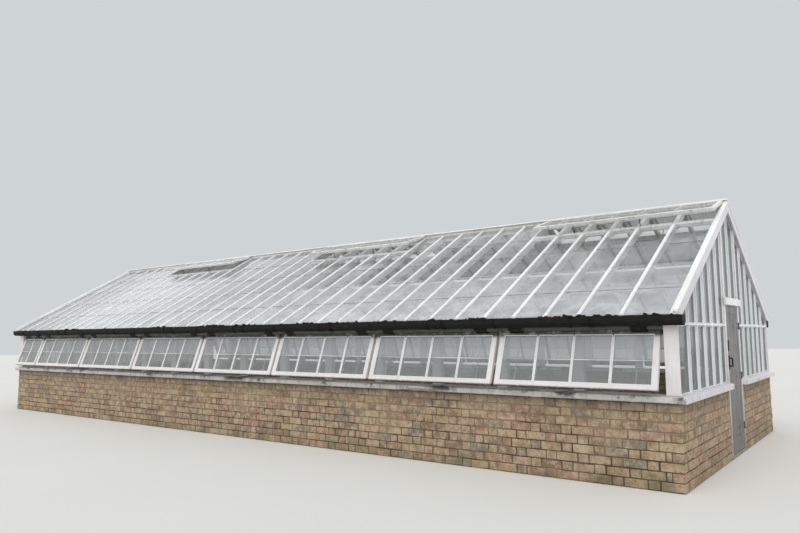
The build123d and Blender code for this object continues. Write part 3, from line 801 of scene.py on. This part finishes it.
def glass_material(name, clean, film, alpha_low, alpha_high, lap_tone, heavy=None, gloss=1.0):
    """Thin old glass: a clear sheet with a film of dirt, thicker in places, that differs from pane to pane."""
    material, shader, place = new_material(name)
    tone, foot, size = (add(material.node_tree, "ShaderNodeAttribute", attribute_name=label).outputs
                        for label in ("tone", "foot", "pane_size"))
    cloud = noise(place, 2.2, 5.0, 0.6)
    runs = noise(scaled(place, (1.0, 0.25, 0.25)), 14.0, 4.0, 0.6)
    dirt = plus(times(cloud, 0.6), times(runs, 0.3))
    dirt = plus(dirt, times(minus(tone["Fac"], 0.5), 0.25))
    dirt = ranged(dirt, 0.38, 0.86)
    if heavy:
        dirt = larger(dirt, heavy(place))
    length = parts_of(size["Vector"])[1]
    line = ranged(times(foot["Fac"], length), glass_lap, glass_lap / 2)
    line = times(line, maths("GREATER_THAN", length, glass_lap))
    line = times(line, ranged(cloud, 0.3, 0.6, 0.4, 0.9))
    feed(shader, {"Base Color": blend(line, blend(dirt, clean, film), lap_tone),
                  "Roughness": ranged(dirt, 0.0, 1.0, 0.06, 0.32),
                  "Alpha": larger(ranged(dirt, 0.0, 1.0, alpha_low, alpha_high), line),
                  "Coat Weight": gloss, "Coat Roughness": 0.12, "Specular IOR Level": 0.5 * gloss,
                  "Normal": relief(noise(place, 1.7, 1.0), 0.2, 0.004)})
    return material


lapped = lapped_tree()
# The roof film's faint blue tint is painted sky reflection.
roof_glass = glass_material("roof_glass", chip(74, 84, 76), chip(205, 206, 211), 0.12, 0.56,
                            chip(122, 124, 120), summer_shading)
shady_glass = glass_material("shady_glass", chip(60, 72, 60), chip(124, 130, 114), 0.4, 0.62, chip(92, 98, 82))
side_glass = glass_material("side_glass", chip(66, 76, 70), chip(180, 186, 190), 0.28, 0.5,
                            chip(206, 206, 206), upper_bloom)
gable_glass = glass_material("gable_glass", chip(84, 95, 95), chip(124, 133, 136), 0.5, 0.66,
                             chip(206, 206, 204), gloss=0.3)


def glaze(name, node, facing, exposure, seed, material):
    """Lapped panes in place of the plain ones of a CAD node."""
    places, widths, lengths = zip(*panes_of(node, facing))
    values = {"Facing": facing, "Exposure": exposure, "Lap": glass_lap, "Thickness": glass_sheet, "Seed": seed,
              "Material": material}
    mesh = points_mesh(places, width=widths, length=lengths)
    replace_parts(piece_from(name, mesh, lapped, values), node)


def rod_tree():
    """A round bead or rod along every edge that it is given."""
    tree, given = new_tree("rods", Radius="Float")
    lines = out(tree, "GeometryNodeMeshToCurve", {"Mesh": given["Geometry"]})
    ring = out(tree, "GeometryNodeCurvePrimitiveCircle", {"Resolution": rod_sides, "Radius": given["Radius"]})
    rods = out(tree, "GeometryNodeCurveToMesh", {"Curve": lines, "Profile Curve": ring, "Fill Caps": True})
    return end_tree(tree, rods, given)


rods = rod_tree()


def rods_along(name, edges, radius, material):
    """Beads or rods along straight edges, each given as its two ends."""
    mesh = bpy.data.meshes.new("edges")
    ends = [tuple(end) for edge in edges for end in edge]
    mesh.from_pydata(ends, [(2 * index, 2 * index + 1) for index in range(len(edges))], [])
    return piece_from(name, mesh, rods, {"Radius": radius, "Material": material})


def pane_edges(node, turn, outward, inset, sides_only=False):
    """The edges of every pane of a CAD node, brought in by an inset and raised over the bed of the glass."""
    across, upward, normal = facing_axes(turn)
    edges = []
    for middle, width, length in panes_of(node, turn):
        middle = middle + normal * outward
        side = across * (width / 2 - inset)
        end = upward * (length / 2 - inset)
        corner = [middle + side * i + end * j for i, j in ((-1, -1), (1, -1), (1, 1), (-1, 1))]
        edges += [(corner[1], corner[2]), (corner[3], corner[0])]
        if not sides_only:
            edges += [(corner[0], corner[1]), (corner[2], corner[3])]
    return edges


putty = painted("putty", (1.0, 1.0, 1.0), chip(236, 238, 240), chip(150, 150, 146), 0.1, 0.1, 0.35)
roof_edges = []
for side, facing, seed, glass in (("front", (pitch, 0, 0), 11, roof_glass),
                                  ("rear", (pitch, 0, half_turn), 12, shady_glass)):
    glaze("roof_panes_" + side, "roof_glass_" + side, facing, roof_exposure, seed, glass)
    roof_edges += pane_edges("roof_glass_" + side, facing, glass_sheet, putty_radius / 3, sides_only=True)
rods_along("roof_putty", roof_edges, putty_radius, putty)
dress(gable_glass, "gable_glass_door_end", "gable_glass_far_end")


def sloping_edges(node, outward, inset):
    """The upright and level edges of gable panes, whose tops follow the slope of the roof."""
    mesh = welded(node)
    bmesh.ops.dissolve_limit(mesh, angle_limit=flat_angle, verts=mesh.verts, edges=mesh.edges)
    edges = []
    for face in (face for face in mesh.faces if face.normal.x * outward > outward_share):
        centre = face.calc_center_median()
        corners = [corner.co + (centre - corner.co).normalized() * inset for corner in face.verts]
        edges += [(corners[index - 1], corners[index]) for index in range(len(corners))]
    mesh.free()
    return edges


gable_edges = sloping_edges("gable_glass_door_end", 1, putty_radius)
gable_edges += sloping_edges("gable_glass_far_end", -1, putty_radius)
rods_along("gable_putty", gable_edges, putty_radius, putty)

# Opening side lights.
# Seven wide top-hung sashes and a half-width one a side, on two black hinges each, held open by thin stays.
# Each has four lights of glass in two lapped panes, bedded in putty.

sash_opening = 19.5
sash_turn = radians(90 - sash_opening)
sash_exposure = 0.25
sash_putty_out = 0.006
sash_putty_inset = 0.004
sash_low, sash_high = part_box("side_sashes_front")

# The rear sashes are darker and greener: partly algae, partly painted shade of the shady side.
for side, tone, mould in (("rear", chip(176, 180, 172), 0.9), ("front", chip(224, 220, 220), 0.35)):
    sash_paint = painted("sash_paint_" + side, (0.5, 1.0, 0.6), tone, chip(130, 126, 112), 0.2, 0.15, mould)
    # Top rails dark grey-green: partly algae, partly painted shade from the gutter.
    darkened(sash_paint, sash_high.z - 0.08, sash_high.z - 0.045, chip(78, 80, 73))
    darkened(sash_paint, sash_low.z + 0.03, sash_low.z + 0.012, chip(52, 48, 42), 22.0)
    dress(sash_paint, "side_sashes_" + side)
sash_edges = []
for side, facing, seed in (("front", (sash_turn, 0, 0), 21), ("rear", (sash_turn, 0, half_turn), 22)):
    glaze("sash_panes_" + side, "sash_glass_" + side, facing, sash_exposure, seed, side_glass)
    sash_edges += pane_edges("sash_glass_" + side, facing, sash_putty_out, sash_putty_inset)
rods_along("sash_putty", sash_edges, putty_radius, putty)

black_iron, shader, place = new_material("black_iron")
rust = ranged(noise(place, 22.0, 6.0, 0.7), 0.5, 0.66)
feed(shader, {"Base Color": blend(rust, chip(16, 16, 16), chip(70, 44, 30)),
              "Roughness": ranged(rust, 0.0, 1.0, 0.6, 0.9), "Specular IOR Level": 0.25})

hinge_spread = 0.73
hinge_inset = 0.2
hinge_across = 0.17
hinge_up = 0.05
hinge_down = 0.026
hinge_thick = 0.004
hinge_out = 0.045
knuckle_share = 0.7
knuckle_sides = 10
stay_radius = 0.006
stay_spread = 0.66
stay_inset = 0.14
stay_top_inset = 0.055
stay_foot_inset = 0.05
stay_foot_rise = 0.012
head_depth = 0.02
narrowest_sash = 0.5
sash_gap = (0.03, 0.06)


def hinge_tree():
    """A knuckle and two leaves at every point: one on the plate above, one on the sash that hangs below."""
    tree, given = new_tree("sash_hinges", Lean="Float", Turn="Float")

    def placed(shape, place, turn=(0, 0, 0)):
        return out(tree, "GeometryNodeTransform", {"Geometry": shape, "Translation": place, "Rotation": turn})

    points = out(tree, "GeometryNodeMeshToPoints", {"Mesh": given["Geometry"]})
    plate = out(tree, "GeometryNodeMeshCube", {"Size": (hinge_across, hinge_thick, hinge_up)})
    leaf = out(tree, "GeometryNodeMeshCube", {"Size": (hinge_across, hinge_thick, hinge_down)})
    hung = placed(leaf, (0, -hinge_thick / 2, -hinge_down / 2))
    barrel = add(tree, "GeometryNodeMeshCylinder", {"Vertices": knuckle_sides, "Radius": 2 * hinge_thick,
                 "Depth": hinge_across * knuckle_share}).outputs["Mesh"]
    pair = add(tree, "GeometryNodeJoinGeometry")
    for part in (placed(plate, (0, -hinge_out - hinge_thick / 2, hinge_up / 2)),
                 placed(hung, (0, 0, 0), combine(given["Lean"], 0.0, 0.0)),
                 placed(barrel, (0, -2 * hinge_thick, 0), (0, radians(90), 0))):
        tree.links.new(part, pair.inputs[0])
    return end_tree(tree, copied(points, pair.outputs[0], combine(0.0, 0.0, given["Turn"])), given)


def sash_spans(node):
    """X limits of every sash of one side, told apart by the narrow gaps between them."""
    mesh = welded(node)
    spots = sorted({round(corner.co.x, 3) for corner in mesh.verts if corner.co.z > sash_high.z - head_depth})
    mesh.free()
    spans = [[spots[0], spots[0]]]
    for spot in spots[1:]:
        start, end = spans[-1]
        if sash_gap[0] < spot - end < sash_gap[1] and end - start > narrowest_sash:
            spans.append([spot, spot])
        else:
            spans[-1][1] = spot
    return spans


hinge_maker = hinge_tree()
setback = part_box("eaves_plate_front")[0].y + hinge_out
stays = []
for side, way, turn in (("front", 1, 0.0), ("rear", -1, half_turn)):
    spots = []
    for low, high in sash_spans("side_sashes_front"):
        middle, half = (low + high) / 2, (high - low) / 2
        for hand in (-1, 1):
            spots.append((middle + hand * min(hinge_spread, half - hinge_inset), way * setback, sash_high.z))
            x = middle + hand * min(stay_spread, half - stay_inset)
            stays.append(((x, way * (setback + stay_top_inset), sash_high.z),
                          (x, way * (sash_low.y + stay_foot_inset), sash_low.z + stay_foot_rise)))
    piece_from("sash_hinges_" + side, points_mesh(spots), hinge_maker,
               {"Lean": -radians(sash_opening), "Turn": turn, "Material": black_iron})
rods_along("sash_stays", stays, stay_radius, sash_paint)

# Ridge vents.
# Top-hung vents on both slopes just under the ridge, open a hand's breadth over a seat bar.
# They face the weather most, so their bottom rails are brown and black with rot and mould.

dress(painted("vent_paint", (0.6, 1.0, 1.0), chip(226, 227, 226), chip(100, 98, 88), 0.35, 0.4, 1.0),
      "ridge_vents_front", "ridge_vents_rear", "vent_seats_front", "vent_seats_rear")
dress(roof_glass, "vent_glass_front")
dress(shady_glass, "vent_glass_rear")

vent_stay_radius = 0.005
vent_stay_inset = 0.035
vent_stay_places = (6.0, 5.1, 1.5, 0.6, -3.0, -3.9)
vent_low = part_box("ridge_vents_front")[0]
seat_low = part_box("vent_seats_front")[0]
vent_stays = [[(x, way * (low.y + vent_stay_inset), low.z + vent_stay_inset) for low in (seat_low, vent_low)]
              for x in vent_stay_places for way in (1, -1)]
rods_along("vent_stays", vent_stays, vent_stay_radius, black_iron)

# Door.
# A framed and boarded door, its grey paint worn to a blue-grey bloom and darker towards the top as painted
# shade under the hood, hung on three strap hinges with a pull handle and a hasp on its free edge.

door_paint = painted("door_paint", grain_z, chip(94, 90, 91), chip(58, 55, 55), 0.5, 0.7, 0.6)
# Darker towards the top: painted shade under the door hood.
dress(darkened(door_paint, 1.2, 1.7, chip(48, 49, 52), 5.0, (0.2, 0.7)), "door_leaf")

board_count = 5
board_gap = 0.003
board_thickness = 0.006
board_edge = 0.0015
door_stile = 0.105
door_recess = 0.008
panel_levels = ((0.243, 0.83), (1.0, 1.735))

leaf_low, leaf_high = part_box("door_leaf")
board_width = (leaf_high.y - leaf_low.y - 2 * door_stile) / board_count
boards = bmesh.new()
for face, inward in ((leaf_high.x, -1), (leaf_low.x, 1)):
    bed = face + inward * door_recess
    for low, high in panel_levels:
        for number in range(board_count):
            y = leaf_low.y + door_stile + (number + 0.5) * board_width
            middle = Matrix.Translation((bed - inward * board_thickness / 2, y, (low + high) / 2))
            size = Matrix.Diagonal((board_thickness, board_width - board_gap, high - low - board_gap, 1))
            bmesh.ops.create_cube(boards, size=1.0, matrix=middle @ size)
board_mesh = bpy.data.meshes.new("door_boards")
boards.to_mesh(board_mesh)
boards.free()
board_mesh.materials.append(door_paint)
piece_from("door_boards", board_mesh, bevel=board_edge, body="door")
dress(black_iron, "door_latch")
dress(painted("painted_iron", grain_y, chip(88, 85, 84), chip(70, 44, 32), 0.1, 0.8, 0.4),
      "door_hinge_straps", "door_hinge_jamb_leaves")

# Gutters.
# Half-round cast iron on strap brackets at every half bay, painted black long ago, with rust at the joints.
# Moss has grown in it in clumps, most of them towards the door end.

gutter_paint, shader, place = new_material("gutter_paint")
flake = noise(scaled(place, (0.4, 1.0, 1.0)), 18.0, 6.0, 0.7)
feed(shader, {"Base Color": blend(ranged(flake, 0.56, 0.66), chip(14, 15, 14), chip(44, 38, 30)),
              "Roughness": ranged(flake, 0.4, 0.7, 0.65, 0.9), "Specular IOR Level": 0.2,
              "Normal": relief(flake, 0.5, 0.003)})
dress(gutter_paint, "gutter_front", "gutter_rear", "gutter_brackets_front", "gutter_brackets_rear")

collar_pitch = 1.808
collar_radius = 0.008
collar_steps = 10
collar_spread = 0.02
moss_clumps = 34
moss_crowding = 0.6
moss_lumps_each = 7
moss_reach = 0.11
moss_small = 0.008
moss_large = 0.036
moss_shape = (1.6, 1.0, 0.6)
moss_turn = (0.5, 0.5, 3.0)
moss_across = (0.32, 0.95)
moss_depth = (-0.004, 0.01)
moss_roughness = 0.02
moss_lump_scale = 55.0

moss, shader, place = new_material("gutter_moss")
clump = ranged(noise(place, 30.0, 5.0, 0.7), 0.35, 0.7)
feed(shader, {"Base Color": blend(clump, chip(18, 18, 12), chip(52, 54, 30)), "Roughness": 1.0,
              "Specular IOR Level": 0.1})


def moss_tree():
    """A rough lump at every point, flatter than it is wide."""
    tree, given = new_tree("moss_lumps", Seed="Int")
    points = out(tree, "GeometryNodeMeshToPoints", {"Mesh": given["Geometry"]})
    ball = out(tree, "GeometryNodeMeshIcoSphere", {"Radius": 1.0, "Subdivisions": 2})
    size = random_value(tree, moss_small, moss_large, given["Seed"])
    size = combine(*(times(size, share) for share in moss_shape))
    turn = random_value(tree, (0, 0, 0), moss_turn, given["Seed"], "FLOAT_VECTOR")
    real = out(tree, "GeometryNodeRealizeInstances", {0: copied(points, ball, turn, size)})
    return end_tree(tree, moved(real, lumpiness(tree, moss_lump_scale, moss_roughness)), given)


moss_maker = moss_tree()
scatter = Random(17)
for side in ("front", "rear"):
    low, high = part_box("gutter_" + side)
    radius = (high.y - low.y) / 2
    middle = (low.y + high.y) / 2
    outer = low.y if side == "front" else high.y
    ring = [(middle + radius * cos(turn), low.z + radius + radius * sin(turn))
            for turn in (pi + pi * step / collar_steps for step in range(collar_steps + 1))]
    ring = [(middle - radius, high.z)] + ring + [(middle + radius, high.z)]
    collars = []
    x = high.x - collar_pitch / 2
    while x > low.x:
        for bead in (x - collar_spread, x, x + collar_spread):
            collars += [((bead, *start), (bead, *end)) for start, end in zip(ring, ring[1:])]
        x -= collar_pitch
    rods_along("gutter_collars_" + side, collars, collar_radius, gutter_paint)
    spots = []
    for _ in range(moss_clumps):
        centre = low.x + moss_reach + (high.x - low.x - 2 * moss_reach) * scatter.random() ** moss_crowding
        for _ in range(moss_lumps_each):
            y = outer + (middle - outer) * scatter.uniform(*moss_across)
            x = min(max(scatter.gauss(centre, moss_reach), low.x + 2 * moss_large), high.x - 2 * moss_large)
            spots.append((x, y, high.z - scatter.uniform(*moss_depth)))
    piece_from("gutter_moss_" + side, points_mesh(spots), moss_maker,
               {"Seed": 5, "Material": moss})
